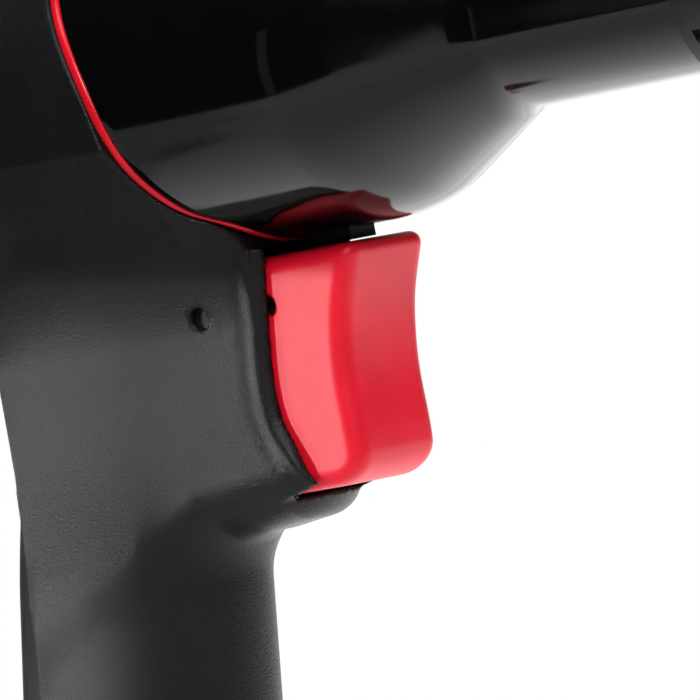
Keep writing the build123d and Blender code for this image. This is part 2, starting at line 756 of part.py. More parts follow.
PARTS = {
    "grip_housing": grip_housing,
    "trim_ring": trim_ring,
    "front_shroud": front_shroud,
    "trigger_tongue": trigger_tongue,
    "housing_stop_pin": housing_stop_pin,
    "trigger": trigger,
    "trigger_rod": trigger_rod,
    "trigger_cross_pin": trigger_cross_pin,
    "rod_end_pin": rod_end_pin,
    "return_spring": return_spring,
    "crank_shaft": crank_shaft,
    "crank_arm_left": lambda: crank_arm(1),
    "crank_arm_right": lambda: crank_arm(-1),
    "crank_finger": crank_finger,
    "valve_sleeve": valve_sleeve,
    "sleeve_seal": sleeve_seal,
    "valve_body": valve_body,
    "shaft_seal_left": lambda: shaft_seal(1),
    "shaft_seal_right": lambda: shaft_seal(-1),
    "pocket_cap": pocket_cap,
    "valve_seat": valve_seat,
    "seat_seal": seat_seal,
    "inlet_tail": inlet_tail,
    "inlet_strainer": inlet_strainer,
    "inlet_gasket": inlet_gasket,
    "swivel_nut": swivel_nut,
    "rear_collar": rear_collar,
    "collar_screw_1": lambda: collar_screw(0),
    "collar_screw_2": lambda: collar_screw(1),
    "collar_screw_3": lambda: collar_screw(2),
    "collar_screw_4": lambda: collar_screw(3),
    "barrel_tube": barrel_tube,
    "head_base": head_base,
    "base_nut": base_nut,
    "stem_spider": stem_spider,
    "baffle_stem": baffle_stem,
    "baffle": baffle,
    "baffle_nut": baffle_nut,
    "shaper_sleeve": shaper_sleeve,
    "pattern_ring": pattern_ring,
    "bumper": bumper,
    "base_cap": base_cap,
    "base_screw_left": lambda: base_screw(BOSS_Y),
    "base_screw_right": lambda: base_screw(-BOSS_Y),
}

os.makedirs("parts", exist_ok=True)
for name, make in PARTS.items():
    export_step(make(), f"parts/{name}.step")
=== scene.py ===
"""Looks of the pistol-grip fire hose nozzle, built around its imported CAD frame.

Shapes are worked out in millimetres in the CAD's own frame, and turned into metres as meshes
are made. Lights, cards and the camera are placed in metres.
"""

import json
import math

import bpy
import numpy as np
from mathutils import Matrix, Vector


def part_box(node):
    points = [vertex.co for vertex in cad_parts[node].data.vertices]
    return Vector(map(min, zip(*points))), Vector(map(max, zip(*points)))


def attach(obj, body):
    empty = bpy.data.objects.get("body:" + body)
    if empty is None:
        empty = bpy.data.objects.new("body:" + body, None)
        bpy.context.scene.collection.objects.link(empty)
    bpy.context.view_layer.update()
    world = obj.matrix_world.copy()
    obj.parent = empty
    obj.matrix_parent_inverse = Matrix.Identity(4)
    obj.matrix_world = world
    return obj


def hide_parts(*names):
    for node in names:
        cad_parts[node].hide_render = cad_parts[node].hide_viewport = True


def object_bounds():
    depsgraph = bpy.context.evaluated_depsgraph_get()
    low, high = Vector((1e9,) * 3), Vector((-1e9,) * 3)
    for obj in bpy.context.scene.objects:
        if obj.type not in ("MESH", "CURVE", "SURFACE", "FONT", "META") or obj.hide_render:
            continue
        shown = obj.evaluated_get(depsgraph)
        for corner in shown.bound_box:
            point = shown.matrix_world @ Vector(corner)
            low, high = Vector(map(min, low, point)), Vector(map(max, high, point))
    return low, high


MM = 0.001
AROUND = 288           # steps round the water axis in the turned meshes

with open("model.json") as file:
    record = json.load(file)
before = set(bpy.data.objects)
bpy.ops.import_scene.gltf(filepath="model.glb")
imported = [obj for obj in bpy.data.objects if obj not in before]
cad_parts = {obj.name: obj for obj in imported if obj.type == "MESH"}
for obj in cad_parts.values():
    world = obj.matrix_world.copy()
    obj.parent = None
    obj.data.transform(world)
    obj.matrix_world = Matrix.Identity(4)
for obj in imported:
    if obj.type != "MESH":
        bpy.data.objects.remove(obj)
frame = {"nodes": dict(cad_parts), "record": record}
cad_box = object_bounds()
nodes = frame["nodes"]


def node_box(name):
    """A node's lowest and highest corners, in millimetres."""
    low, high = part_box(name)
    return np.array(low) / MM, np.array(high) / MM


def node_middle(name):
    low, high = node_box(name)
    return (low + high) / 2


# ---- key places, read from the frame ----
TRIGGER_BACK = 7.0                         # back of the trigger, ahead of the reference station
TRIGGER_LOW_CORNER, TRIGGER_HIGH_CORNER = node_box("trigger")
REF = TRIGGER_LOW_CORNER[0] - TRIGGER_BACK  # the station that the grip is laid out from
TRIGGER_HALF = TRIGGER_HIGH_CORNER[1]
TRIGGER_LOW = TRIGGER_LOW_CORNER[2]
TRIGGER_TOP = TRIGGER_HIGH_CORNER[2]
BODY_R = node_box("front_shroud")[1][2]    # radius of the glossy body
BARREL_END = node_box("front_shroud")[1][0]
GRIP_R = node_box("grip_housing")[1][2]    # radius of the round part of the grip
REAR_X = node_box("grip_housing")[0][0]
FOOT_Z = node_box("grip_housing")[0][2]
ROD_Z = node_middle("trigger_rod")[2]
STOP_PIN_X = node_middle("housing_stop_pin")[0]
CROSS_PIN_X = node_middle("trigger_cross_pin")[0]
TRIM_HALF = 1.1                            # half the width of the red trim line
TRIM_GAP = 0.15


# ---- small tools for distance fields ----
def smooth_min(a, b, k):
    """The smaller of two distances, blended where they differ by less than k."""
    h = np.clip(0.5 + 0.5 * (b - a) / k, 0, 1)
    return b + (a - b) * h - k * h * (1 - h)


def smooth_max(a, b, k):
    return -smooth_min(-a, -b, k)


def round_corner(a, b, radius):
    """Two distances joined so that their outside corner has a radius."""
    a = a + radius
    b = b + radius
    outside = np.hypot(np.maximum(a, 0), np.maximum(b, 0))
    return outside + np.minimum(np.maximum(a, b), 0) - radius


def ease(t):
    """0 to 1 with a soft start and end, held outside that range."""
    t = np.clip(t, 0, 1)
    return t * t * (3 - 2 * t)


def natural_spline(stations, values, at):
    """Values at places along a natural cubic spline through (station, value) points."""
    t = np.asarray(stations, float)
    y = np.asarray(values, float)
    h = np.diff(t)
    n = len(t)
    system = np.zeros((n, n))
    change = np.zeros(n)
    system[0, 0] = system[-1, -1] = 1
    for i in range(1, n - 1):
        system[i, i - 1 : i + 2] = h[i - 1], 2 * (h[i - 1] + h[i]), h[i]
        change[i] = 6 * ((y[i + 1] - y[i]) / h[i] - (y[i] - y[i - 1]) / h[i - 1])
    bend = np.linalg.solve(system, change)
    k = np.clip(np.searchsorted(t, at) - 1, 0, n - 2)
    u, w = at - t[k], t[k + 1] - at
    return (
        (bend[k] * w**3 + bend[k + 1] * u**3) / (6 * h[k])
        + (y[k] / h[k] - bend[k] * h[k] / 6) * w
        + (y[k + 1] / h[k] - bend[k + 1] * h[k] / 6) * u
    )


def spline_path(points, count):
    """x and z at even steps along a smooth side-view path; its x are from the station REF."""
    points = np.array(points)
    chord = np.concatenate([[0], np.cumsum(np.hypot(*np.diff(points, axis=0).T))])
    along = np.linspace(0, chord[-1], count)
    return (
        natural_spline(chord, points[:, 0], along) + REF,
        natural_spline(chord, points[:, 1], along),
    )


# ---- the slanted joint between grip and shroud, in side view ----
JOINT_POINTS = [
    # x from the reference station, height
    (-28.0, 40.0),
    (-14.6, 18.0),
    (-6.5, 0.5),
    (-1.1, -17.0),
    (1.7, -22.0),
    (5.0, -26.1),
    (11.3, -30.4),
    (13.5, -40.0),
]
_joint_x, _joint_z = spline_path(JOINT_POINTS, 800)


def joint_x(z):
    """Where the joint's middle line stands at a height."""
    return np.interp(z, _joint_z[::-1], _joint_x[::-1])


def joint_height(x):
    """The height at which the joint's middle line passes a station."""
    return np.interp(x, _joint_x, _joint_z)


# ---- turning a distance field into a smooth mesh ----
def sample_field(field, low, high, step):
    """The field's values on a grid, one slice of x at a time."""
    count = np.ceil((high - low) / step).astype(int) + 1
    xs, ys, zs = (low[i] + step * np.arange(count[i]) for i in range(3))
    yy, zz = np.meshgrid(ys, zs, indexing="ij")
    values = np.empty(count, np.float32)
    for i, x in enumerate(xs):
        values[i] = field(np.full(yy.shape, x), yy, zz)
    return values


def surface_cells(inside):
    """The grid cells that the surface passes through, as a mask."""
    ends = (slice(None, -1), slice(1, None))
    total = np.zeros([c - 1 for c in inside.shape], np.int8)
    for i in ends:
        for j in ends:
            for k in ends:
                total += inside[i, j, k]
    return (total > 0) & (total < 8)


def crossing_centres(values, cells):
    """The mean of the places where the surface crosses each cell's edges, in grid steps."""
    place = np.zeros((len(cells), 3))
    hits = np.zeros(len(cells))
    for axis in range(3):
        first, second = (a for a in range(3) if a != axis)
        for p in (0, 1):
            for q in (0, 1):
                start = cells.copy()
                start[:, first] += p
                start[:, second] += q
                end = start.copy()
                end[:, axis] += 1
                va, vb = values[tuple(start.T)], values[tuple(end.T)]
                cross = (va < 0) != (vb < 0)
                t = np.where(cross, va / np.where(cross, va - vb, 1), 0)
                spot = start.astype(float)
                spot[:, axis] += t
                place += spot * cross[:, None]
                hits += cross
    return place / hits[:, None]


def crossing_quads(inside, index):
    """A quad round each grid edge that the surface crosses, facing outwards."""
    quads = []
    for axis in range(3):
        others = [a for a in range(3) if a != axis]
        lo, hi = [slice(1, -1)] * 3, [slice(1, -1)] * 3
        lo[axis], hi[axis] = slice(None, -1), slice(1, None)
        va, vb = inside[tuple(lo)], inside[tuple(hi)]
        edge = np.argwhere(va != vb)
        flip = vb[tuple(edge.T)]
        edge[:, others] += 1
        corners = []
        for back in ((0, 0), (1, 0), (1, 1), (0, 1)):
            cell = edge.copy()
            cell[:, others] -= back
            corners.append(index[tuple(cell.T)])
        face = np.stack(corners, 1)
        if axis == 1:
            flip = ~flip
        face[~flip] = face[~flip][:, ::-1]
        quads.append(face)
    return np.concatenate(quads)


def field_slope(field, points, d=0.02):
    slope = np.empty_like(points)
    for a in range(3):
        ahead, back = points.copy(), points.copy()
        ahead[:, a] += d
        back[:, a] -= d
        slope[:, a] = (field(*ahead.T) - field(*back.T)) / (2 * d)
    return slope


def pull_to_surface(field, points, step):
    """Moves points towards the field's zero level, by under a third of a grid step."""
    slope = field_slope(field, points)
    size = np.maximum((slope**2).sum(1), 1e-6)
    move = slope * (field(*points.T) / size)[:, None]
    length = np.linalg.norm(move, axis=1, keepdims=True)
    return points - move * np.minimum(1, 0.3 * step / np.maximum(length, 1e-9))


def surface_nets(field, low, high, step, polish=4):
    """A closed quad mesh on the field's zero level, with its corners on the exact surface."""
    low, high = np.asarray(low, float), np.asarray(high, float)
    values = sample_field(field, low, high, step)
    inside = values < 0
    mask = surface_cells(inside)
    index = np.full(mask.shape, -1, np.int64)
    index[mask] = np.arange(mask.sum())
    points = low + step * crossing_centres(values, np.argwhere(mask))
    for _ in range(polish):
        points = pull_to_surface(field, points, step)
    return points, crossing_quads(inside, index)


# ---- making objects ----
def linked(name, data):
    """A new object in the scene."""
    obj = bpy.data.objects.new(name, data)
    bpy.context.scene.collection.objects.link(obj)
    return obj


def mesh_object(name, points, faces):
    """A smooth-shaded mesh from points in millimetres."""
    mesh = bpy.data.meshes.new(name)
    mesh.from_pydata((np.asarray(points) * MM).tolist(), [], [list(map(int, f)) for f in faces])
    mesh.validate()
    mesh.update()
    mesh.polygons.foreach_set("use_smooth", [True] * len(mesh.polygons))
    return linked(name, mesh)


def field_object(name, field, low, high, step):
    return mesh_object(name, *surface_nets(field, low, high, step))


def ring_faces(count, closed):
    """Quads between the AROUND copies of a profile of count points."""
    faces = []
    for i in range(AROUND):
        a, b = i * count, (i + 1) % AROUND * count
        for j in range(count if closed else count - 1):
            k = (j + 1) % count
            faces.append((a + j, a + k, b + k, b + j))
    return faces


# ---- the front edge of the cheeks, which runs down around the trigger and under its foot ----
RIM_POINTS = [
    # x from the reference station, height
    (16.5, -30.0),
    (14.8, -40.0),
    (12.9, -52.2),
    (11.6, -62.3),
    (11.9, -69.6),
    (13.3, -75.0),
    (14.7, -79.4),
    (16.6, -83.6),
    (18.2, -85.3),
    (21.0, -86.6),
    (26.0, -86.9),
    (45.0, -87.0),
]
_rim_x, _rim_z = spline_path(RIM_POINTS, 400)
RIM_CELL = 0.25
_table_x = np.arange(REF - 30, REF + 40, RIM_CELL)
_table_z = np.arange(-104, -32, RIM_CELL)


def rim_table():
    """Signed distance to the rim on a side-view grid, negative in front of it."""
    x, z = np.meshgrid(_table_x, _table_z, indexing="ij")
    far = np.full(x.shape, 1e3)
    for rx, rz in zip(_rim_x, _rim_z):
        far = np.minimum(far, np.hypot(x - rx, z - rz))
    level = np.minimum.accumulate(_rim_z)
    edge = np.interp(z, level[::-1], _rim_x[::-1])
    return np.where((x > edge) & (z > level[-1]), -far, far)


_rim_far = rim_table()


def rim_distance(x, z):
    """The table's distance between its grid points."""
    u = np.clip((x - _table_x[0]) / RIM_CELL, 0, len(_table_x) - 1.001)
    w = np.clip((z - _table_z[0]) / RIM_CELL, 0, len(_table_z) - 1.001)
    i, k = u.astype(int), w.astype(int)
    fu, fw = u - i, w - k
    low = _rim_far[i, k] * (1 - fu) + _rim_far[i + 1, k] * fu
    high = _rim_far[i, k + 1] * (1 - fu) + _rim_far[i + 1, k + 1] * fu
    return low * (1 - fw) + high * fw


# ---- grip housing: a round body, two cheeks that end in a chin, and the handle ----
REAR_DOME = 14.0           # rounding of the body's back edge
NECK_Z = -52.0             # height of the cheeks' narrowest place
NECK_HALF = 15.9           # half their width there, by the trigger
NECK_WIDER = 1.5           # and how much more it is at the back
FLARE_POWER = 1.55         # how the cheeks widen from the neck up to the body
FLARE_TOP = -17.0          # highest place at which they meet the body
FLANK_SLOPE = 0.94         # makes up for the cheeks' slant in the distance field
CHIN_TIP = REF + 12.2      # front of the bow-shaped belly under the trigger
CHIN_NOSE = 12.5           # length of its rounded nose
CHIN_BOTTOM = -93.0
CHIN_RISE = 0.105          # slope of the underside towards the tip
CHIN_DROP = 0.5            # and towards the handle
CHIN_ROUND = 12.5          # rounding under the flanks
NOSE_ROUND = 8.0           # rounding under the nose
LIP_TIP = REF + 20.2       # front of the thin walls beside the trigger's foot
LIP_Z = -87.6              # where the nose starts to turn into those walls
LIP_RISE = 3.6
RIM_ROUND = 4.2            # rounding of the cheeks' front edge
RIM_SHARPER = 2.8          # how much less it is beside the trigger's foot
CREASE = (0.26, 5.4, 1.6)  # depth, distance behind the rim, width
BEAD = (0.15, 2.6, 1.8)    # height, distance behind the rim, width
CHEEK_BACK = REF - 60.0
HAND_X = REF - 45.2        # centre line of the handle at HAND_Z
HAND_Z = -100.0
HAND_LONG = 31.0           # half the oval's depth
HAND_WIDE = 19.5           # half its width
HAND_SWELL = 0.04          # how much it grows over 50 mm of height
HAND_SLIMMER = 4.5         # how much narrower it is at the top
HAND_BLEND = 7.0
RAKE = math.tan(math.radians(10.0))
RAKE_SCALE = 0.985         # makes up for the rake in the distance field
OPENING_HALF = 13.4        # the trigger's opening
OPENING_FLOOR = -87.0
OPENING_TOP = -35.5
OPENING_BACK = REF - 13.0
STOP_HOLE_R = 2.25
TAIL_HOLE_R = 13.8
TAIL_HOLE_DEPTH = 6.0


def hand_centre(z):
    return HAND_X + (z - HAND_Z) * RAKE


def flank_half_width(x, z):
    """Half the thickness of the cheeks: flush with the body at the joint, narrow at the neck."""
    top = np.minimum(joint_height(np.minimum(x, REF + 12.0)), FLARE_TOP)
    body = np.sqrt(np.maximum(GRIP_R**2 - top**2, 0))
    neck = NECK_HALF + NECK_WIDER * ease((REF + 12.0 - x) / 45)
    t = np.clip((z - NECK_Z) / (top - NECK_Z), 0, 1.2)
    flare = neck + (body - neck) * t**FLARE_POWER
    across = np.clip((x - hand_centre(z)) / HAND_LONG, -1, 1)
    oval = HAND_WIDE * np.sqrt(1 - across**2)
    sink = ease((-78 - z) / 20) * ease((REF - 14 - x) / 18)
    return flare + (np.minimum(flare, oval) - flare) * sink


def handle_field(x, y, z):
    """The raked oval handle."""
    swell = 1.0 + HAND_SWELL * (HAND_Z - z) / 50.0
    a = HAND_LONG * swell * RAKE_SCALE
    b = HAND_WIDE * swell - HAND_SLIMMER * ease((z + 98.0) / 34.0)
    u = (x - hand_centre(z)) * RAKE_SCALE
    k1 = np.hypot(u / a, y / b)
    k2 = np.hypot(u / a**2, y / b**2)
    return k1 * (k1 - 1) / np.maximum(k2, 1e-6)


def ridge(distance, size, centre, width):
    return size * np.exp(-(((distance - centre) / width) ** 2))


def cheeks_field(x, y, z):
    """The two cheeks beside the trigger and the chin that joins them below it."""
    half = np.maximum(flank_half_width(x, z), 0.5)
    level = ease((z - LIP_Z) / LIP_RISE)
    start = CHIN_TIP - CHIN_NOSE + (LIP_TIP - CHIN_TIP) * level
    nose = np.maximum(x - start, 0) / CHIN_NOSE
    power = 2.0 + 4.0 * level
    plan = ((nose**power + (y / half) ** power) ** (1 / power) - 1) * half * FLANK_SLOPE
    flat = (y - half) * FLANK_SLOPE
    rise = CHIN_RISE * np.maximum(x - REF + 5.0, 0)
    drop = CHIN_DROP * np.maximum(REF - 12.0 - x, 0)
    under = CHIN_BOTTOM + rise - drop - z
    solid = np.maximum(
        round_corner(plan, under, NOSE_ROUND),
        round_corner(flat, under, CHIN_ROUND),
    )
    rim = rim_distance(x, z)
    rim_round = RIM_ROUND - RIM_SHARPER * ease((-70.0 - z) / 12)
    solid = np.maximum(solid, round_corner(plan, -rim, rim_round))
    relief = ridge(rim, *CREASE) - ridge(rim, *BEAD)
    solid = solid + relief * ease((y - 8) / 4) * ease((x - REF + 14) / 8)
    return np.maximum(solid, CHEEK_BACK - x)


def grip_field(x, y, z):
    y = np.abs(y)
    r = np.hypot(y, z)
    body = round_corner(REAR_X - x, r - GRIP_R, REAR_DOME)
    lower = smooth_min(cheeks_field(x, y, z), handle_field(x, y, z), HAND_BLEND)
    lower = np.maximum(lower, z + 2.0)
    blend = 1.5 + 12.0 * ease((REF - 38.0 - x) / 25.0)
    solid = smooth_min(body, lower, blend)
    # ends at the trim line, at the foot, and outside the shroud
    joint = x - (joint_x(z) - TRIM_HALF - TRIM_GAP)
    solid = smooth_max(solid, np.where(z > OPENING_TOP, joint, -10.0), 0.5)
    solid = smooth_max(solid, FOOT_Z + 0.1 - z, 0.8)
    solid = np.maximum(solid, np.minimum(-(r - BODY_R - 0.3), x - REF - 8))
    solid = np.maximum(solid, y - GRIP_R)
    # the trigger's opening, the stop pin's hole and the inlet's hole
    opening = np.maximum(
        round_corner(y - OPENING_HALF, OPENING_FLOOR - z, 4.0),
        np.maximum(z - OPENING_TOP, OPENING_BACK - x),
    )
    solid = smooth_max(solid, -opening, 0.5)
    stop_hole = np.hypot(x - STOP_PIN_X, z - ROD_Z) - STOP_HOLE_R
    solid = smooth_max(solid, -stop_hole, 0.7)
    tail_hole = np.maximum(r - TAIL_HOLE_R, x - REAR_X - TAIL_HOLE_DEPTH)
    return np.maximum(solid, -tail_hole)


def grip_housing():
    low = (REAR_X - 2, -GRIP_R - 2, FOOT_Z - 2)
    high = (LIP_TIP + 2, GRIP_R + 2, GRIP_R + 2)
    return field_object("grip_shell", grip_field, low, high, 0.7)


# ---- trigger ----
FRONT_PROFILE = [
    # height, x of the finger face from the reference station
    (-92.0, 22.0),
    (-86.3, 27.6),
    (-79.5, 29.6),
    (-74.0, 29.7),
    (-66.0, 29.6),
    (-57.8, 30.4),
    (-49.5, 32.3),
    (-41.8, 35.4),
    (-36.0, 37.8),
]
_front = np.array(FRONT_PROFILE)
FACE_SLOPE = 0.97          # makes up for the face's slant in the distance field
TOP_ROUND = 3.2
FOOT_ROUND = 6.5
SIDE_ROUND = 4.0
CROSS_HOLE_R = 2.4


def trigger_field(x, y, z):
    y = np.abs(y)
    height = np.clip(z, _front[0, 0], _front[-1, 0])
    face = natural_spline(_front[:, 0], _front[:, 1] + REF, height)
    front = (x - face) * FACE_SLOPE
    upper = round_corner(front, z - TRIGGER_TOP, TOP_ROUND)
    lower = round_corner(front, TRIGGER_LOW - z, FOOT_ROUND)
    side = np.maximum(np.where(z < -60, lower, upper), REF + TRIGGER_BACK - x)
    solid = round_corner(side, y - TRIGGER_HALF, SIDE_ROUND)
    hole = np.hypot(x - CROSS_PIN_X, z - ROD_Z) - CROSS_HOLE_R
    return smooth_max(solid, -hole, 0.35)


def trigger_shell():
    low, high = TRIGGER_LOW_CORNER - 1.5, TRIGGER_HIGH_CORNER + 1.5
    return field_object("trigger_shell", trigger_field, low, high, 0.45)


# ---- glossy shroud ----
BARREL_R = 18.3
SHOULDER_START = REF + 39.0
SHOULDER_SLOPE = math.radians(27.0)
SHOULDER_ROUND = 35.0
NECK_ROUND = 15.0
SHROUD_LIP = [
    # ahead of the joint's edge, and out from the body's radius
    (0.6, -3.0),
    (0.05, -2.6),
    (0.0, -0.45),
    (0.13, -0.13),
    (0.45, 0.0),
]


def shroud_outline():
    """(x, radius) along the shroud from the shoulder's start to its front end."""
    slope = SHOULDER_SLOPE
    cone_r = BODY_R - SHOULDER_ROUND * (1 - math.cos(slope))
    cone_x = SHOULDER_START + SHOULDER_ROUND * math.sin(slope)
    neck_r = BARREL_R + NECK_ROUND * (1 - math.cos(slope))
    neck_x = cone_x + (cone_r - neck_r) / math.tan(slope)
    barrel_x = neck_x + NECK_ROUND * math.sin(slope)
    out = []
    for t in np.linspace(0, slope, 28):
        drop = SHOULDER_ROUND * (1 - math.cos(t))
        out.append((SHOULDER_START + SHOULDER_ROUND * math.sin(t), BODY_R - drop))
    for t in np.linspace(0, 1, 14)[1:]:
        out.append((cone_x + (neck_x - cone_x) * t, cone_r + (neck_r - cone_r) * t))
    for t in np.linspace(slope, 0, 16)[1:]:
        rise = NECK_ROUND * (1 - math.cos(t))
        out.append((barrel_x - NECK_ROUND * math.sin(t), BARREL_R + rise))
    for t in np.linspace(0, 1, 34)[1:]:
        out.append((barrel_x + (BARREL_END - 1.0 - barrel_x) * t, BARREL_R))
    for back, inward in ((0.3, 0.3), (0, 1.0), (0, 2.6)):
        out.append((BARREL_END - back, BARREL_R - inward))
    return out


def front_shroud():
    outline = shroud_outline()
    points = []
    for angle in np.linspace(0, 2 * math.pi, AROUND, endpoint=False):
        c, s = math.cos(angle), math.sin(angle)
        start = float(joint_x(BODY_R * s)) + TRIM_HALF + TRIM_GAP
        row = [(start + dx, BODY_R + dr) for dx, dr in SHROUD_LIP]
        for x in np.linspace(row[-1][0], outline[0][0], 25)[1:]:
            row.append((x, BODY_R))
        row += outline[1:]
        points += [(x, r * c, r * s) for x, r in row]
    return mesh_object("shroud_shell", points, ring_faces(len(row), closed=False))


# ---- trim ring ----
def trim_bead():
    """A rounded bead that fills the joint, as a closed ring along the slanted path."""
    profile = []
    for turn in np.linspace(0, math.pi, 9):
        profile.append((-TRIM_HALF * math.cos(turn), GRIP_R - 0.55 + 0.5 * math.sin(turn)))
    profile += [(TRIM_HALF, GRIP_R - 2.4), (-TRIM_HALF, GRIP_R - 2.4)]
    points = []
    for angle in np.linspace(0, 2 * math.pi, AROUND, endpoint=False):
        for dx, r in profile:
            y, z = r * math.cos(angle), r * math.sin(angle)
            points.append((float(joint_x(z)) + dx, y, z))
    return mesh_object("trim_bead", points, ring_faces(len(profile), closed=True))


# ---- materials ----
def set_input(node, name, value):
    node.inputs[name].default_value = value


def painted(tree, low, high, factor):
    """A colour between two tones, driven by a 0-1 value."""
    mix = tree.nodes.new("ShaderNodeMix")
    mix.data_type = "RGBA"
    mix.inputs[6].default_value = (*low, 1)
    mix.inputs[7].default_value = (*high, 1)
    tree.links.new(factor, mix.inputs[0])
    return mix.outputs[2]


def spread(tree, value, low, high, out_low=0.0, out_high=1.0, curve="LINEAR"):
    """A value re-ranged from low-high to out_low-out_high."""
    ramp = tree.nodes.new("ShaderNodeMapRange")
    ramp.interpolation_type = curve
    set_input(ramp, "From Min", low)
    set_input(ramp, "From Max", high)
    set_input(ramp, "To Min", out_low)
    set_input(ramp, "To Max", out_high)
    tree.links.new(value, ramp.inputs["Value"])
    return ramp.outputs["Result"]


def noise(tree, scale, detail=2.0, stretch=(1, 1, 1)):
    """Noise in the object's space, in features per metre; stretch squeezes it along an axis."""
    place = tree.nodes.new("ShaderNodeTexCoord")
    mapping = tree.nodes.new("ShaderNodeMapping")
    texture = tree.nodes.new("ShaderNodeTexNoise")
    set_input(mapping, "Scale", stretch)
    set_input(texture, "Scale", scale)
    set_input(texture, "Detail", detail)
    tree.links.new(place.outputs["Object"], mapping.inputs["Vector"])
    tree.links.new(mapping.outputs["Vector"], texture.inputs["Vector"])
    return texture.outputs["Fac"]


def bump(tree, bsdf, height, strength, depth):
    node = tree.nodes.new("ShaderNodeBump")
    set_input(node, "Strength", strength)
    set_input(node, "Distance", depth)
    tree.links.new(height, node.inputs["Height"])
    tree.links.new(node.outputs["Normal"], bsdf.inputs["Normal"])


def material(name, tones, rough, grain, spec=0.5, metal=0.0, patches=60.0, tint=None):
    """A procedural finish.

    tones: two colours it wanders between, in patches per metre; rough: two roughnesses;
    grain: (features per metre, strength, depth in metres, stretch) of the surface texture;
    tint: two colours of its sheen, speckled at about the grain's scale.
    """
    mat = bpy.data.materials.new(name)
    mat.use_nodes = True
    tree = mat.node_tree
    bsdf = tree.nodes["Principled BSDF"]
    set_input(bsdf, "Specular IOR Level", spec)
    set_input(bsdf, "Metallic", metal)
    wander = spread(tree, noise(tree, patches, 3.0), 0.35, 0.65)
    tree.links.new(painted(tree, *tones, wander), bsdf.inputs["Base Color"])
    scale, strength, depth, stretch = grain
    fine = noise(tree, scale, 3.0, stretch)
    tree.links.new(spread(tree, fine, 0.3, 0.7, *rough), bsdf.inputs["Roughness"])
    bump(tree, bsdf, fine, strength, depth)
    if tint:
        speckle = spread(tree, noise(tree, scale * 0.8, 1.0), 0.4, 0.6)
        tree.links.new(painted(tree, *tint, speckle), bsdf.inputs["Specular Tint"])
    return mat


EVEN = (1, 1, 1)
TURNED = (1, 0.03, 0.03)       # fine rings around the water axis
DRAWN = (0.2, 1, 0.2)          # streaks along a cross pin
FINISHES = {
    "grip_plastic": material(
        "grip_black",
        ((0.0062, 0.0058, 0.0068), (0.0085, 0.0080, 0.0088)),
        (0.30, 0.46),
        (2400, 1.0, 0.00015, EVEN),
        spec=0.23,
        tint=((1.0, 0.86, 0.72), (0.80, 0.90, 1.0)),
    ),
    "trigger_red": material(
        "trigger_red",
        ((0.66, 0.0035, 0.020), (0.74, 0.0045, 0.024)),
        (0.40, 0.48),
        (2600, 0.12, 0.00003, EVEN),
        spec=0.3,
        patches=90,
    ),
    "shroud_gloss": material(
        "shroud_gloss",
        ((0.0010, 0.0008, 0.0012), (0.0016, 0.0013, 0.0016)),
        (0.07, 0.11),
        (140, 0.05, 0.00005, EVEN),
    ),
    "trim_red": material(
        "trim_red",
        ((0.64, 0.004, 0.014), (0.72, 0.005, 0.018)),
        (0.26, 0.36),
        (1800, 0.12, 0.00003, EVEN),
        spec=0.4,
    ),
    "steel": material(
        "steel",
        ((0.50, 0.50, 0.52), (0.60, 0.60, 0.61)),
        (0.24, 0.40),
        (1500, 0.15, 0.00003, DRAWN),
        metal=1.0,
    ),
    "spring_steel": material(
        "spring_steel",
        ((0.38, 0.38, 0.41), (0.50, 0.49, 0.48)),
        (0.22, 0.36),
        (1200, 0.12, 0.00003, EVEN),
        metal=1.0,
    ),
    "brass": material(
        "brass",
        ((0.62, 0.42, 0.15), (0.76, 0.55, 0.24)),
        (0.20, 0.38),
        (1600, 0.15, 0.00003, TURNED),
        metal=1.0,
    ),
    "seal_rubber": material(
        "seal_rubber",
        ((0.012, 0.012, 0.013), (0.020, 0.020, 0.020)),
        (0.45, 0.62),
        (1500, 0.20, 0.00003, EVEN),
        spec=0.4,
    ),
    "cast_alloy": material(
        "cast_alloy",
        ((0.36, 0.36, 0.37), (0.48, 0.48, 0.48)),
        (0.40, 0.62),
        (700, 0.45, 0.00012, EVEN),
        metal=1.0,
    ),
    "alloy": material(
        "alloy",
        ((0.52, 0.53, 0.55), (0.64, 0.64, 0.65)),
        (0.24, 0.42),
        (1800, 0.22, 0.00003, TURNED),
        metal=1.0,
    ),
    "alloy_dark": material(
        "alloy_dark",
        ((0.040, 0.041, 0.046), (0.062, 0.062, 0.068)),
        (0.28, 0.44),
        (1800, 0.25, 0.00003, TURNED),
        metal=0.85,
    ),
    "ring_plastic": material(
        "ring_plastic",
        ((0.010, 0.010, 0.011), (0.016, 0.016, 0.017)),
        (0.36, 0.50),
        (2000, 0.35, 0.00005, EVEN),
        spec=0.4,
    ),
    "bumper_rubber": material(
        "bumper_rubber",
        ((0.014, 0.014, 0.015), (0.022, 0.021, 0.021)),
        (0.55, 0.75),
        (1300, 0.40, 0.00007, EVEN),
        spec=0.35,
    ),
    "cap_rubber": material(
        "cap_rubber",
        ((0.010, 0.010, 0.011), (0.017, 0.016, 0.017)),
        (0.50, 0.68),
        (1500, 0.40, 0.00006, EVEN),
        spec=0.35,
    ),
}
BLACKENED = material(
    "blackened_steel",
    ((0.010, 0.010, 0.011), (0.018, 0.017, 0.017)),
    (0.50, 0.65),
    (1500, 0.30, 0.00004, DRAWN),
    spec=0.2,
)


def fitted(obj, body, node, slot_name):
    """A modelled piece that takes the place of one CAD node."""
    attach(obj, body)
    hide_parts(node)
    obj.data.materials.append(FINISHES[slot_name])


def dress(node, finish):
    """Gives a CAD node its finish."""
    node.data.materials.clear()
    node.data.materials.append(finish)


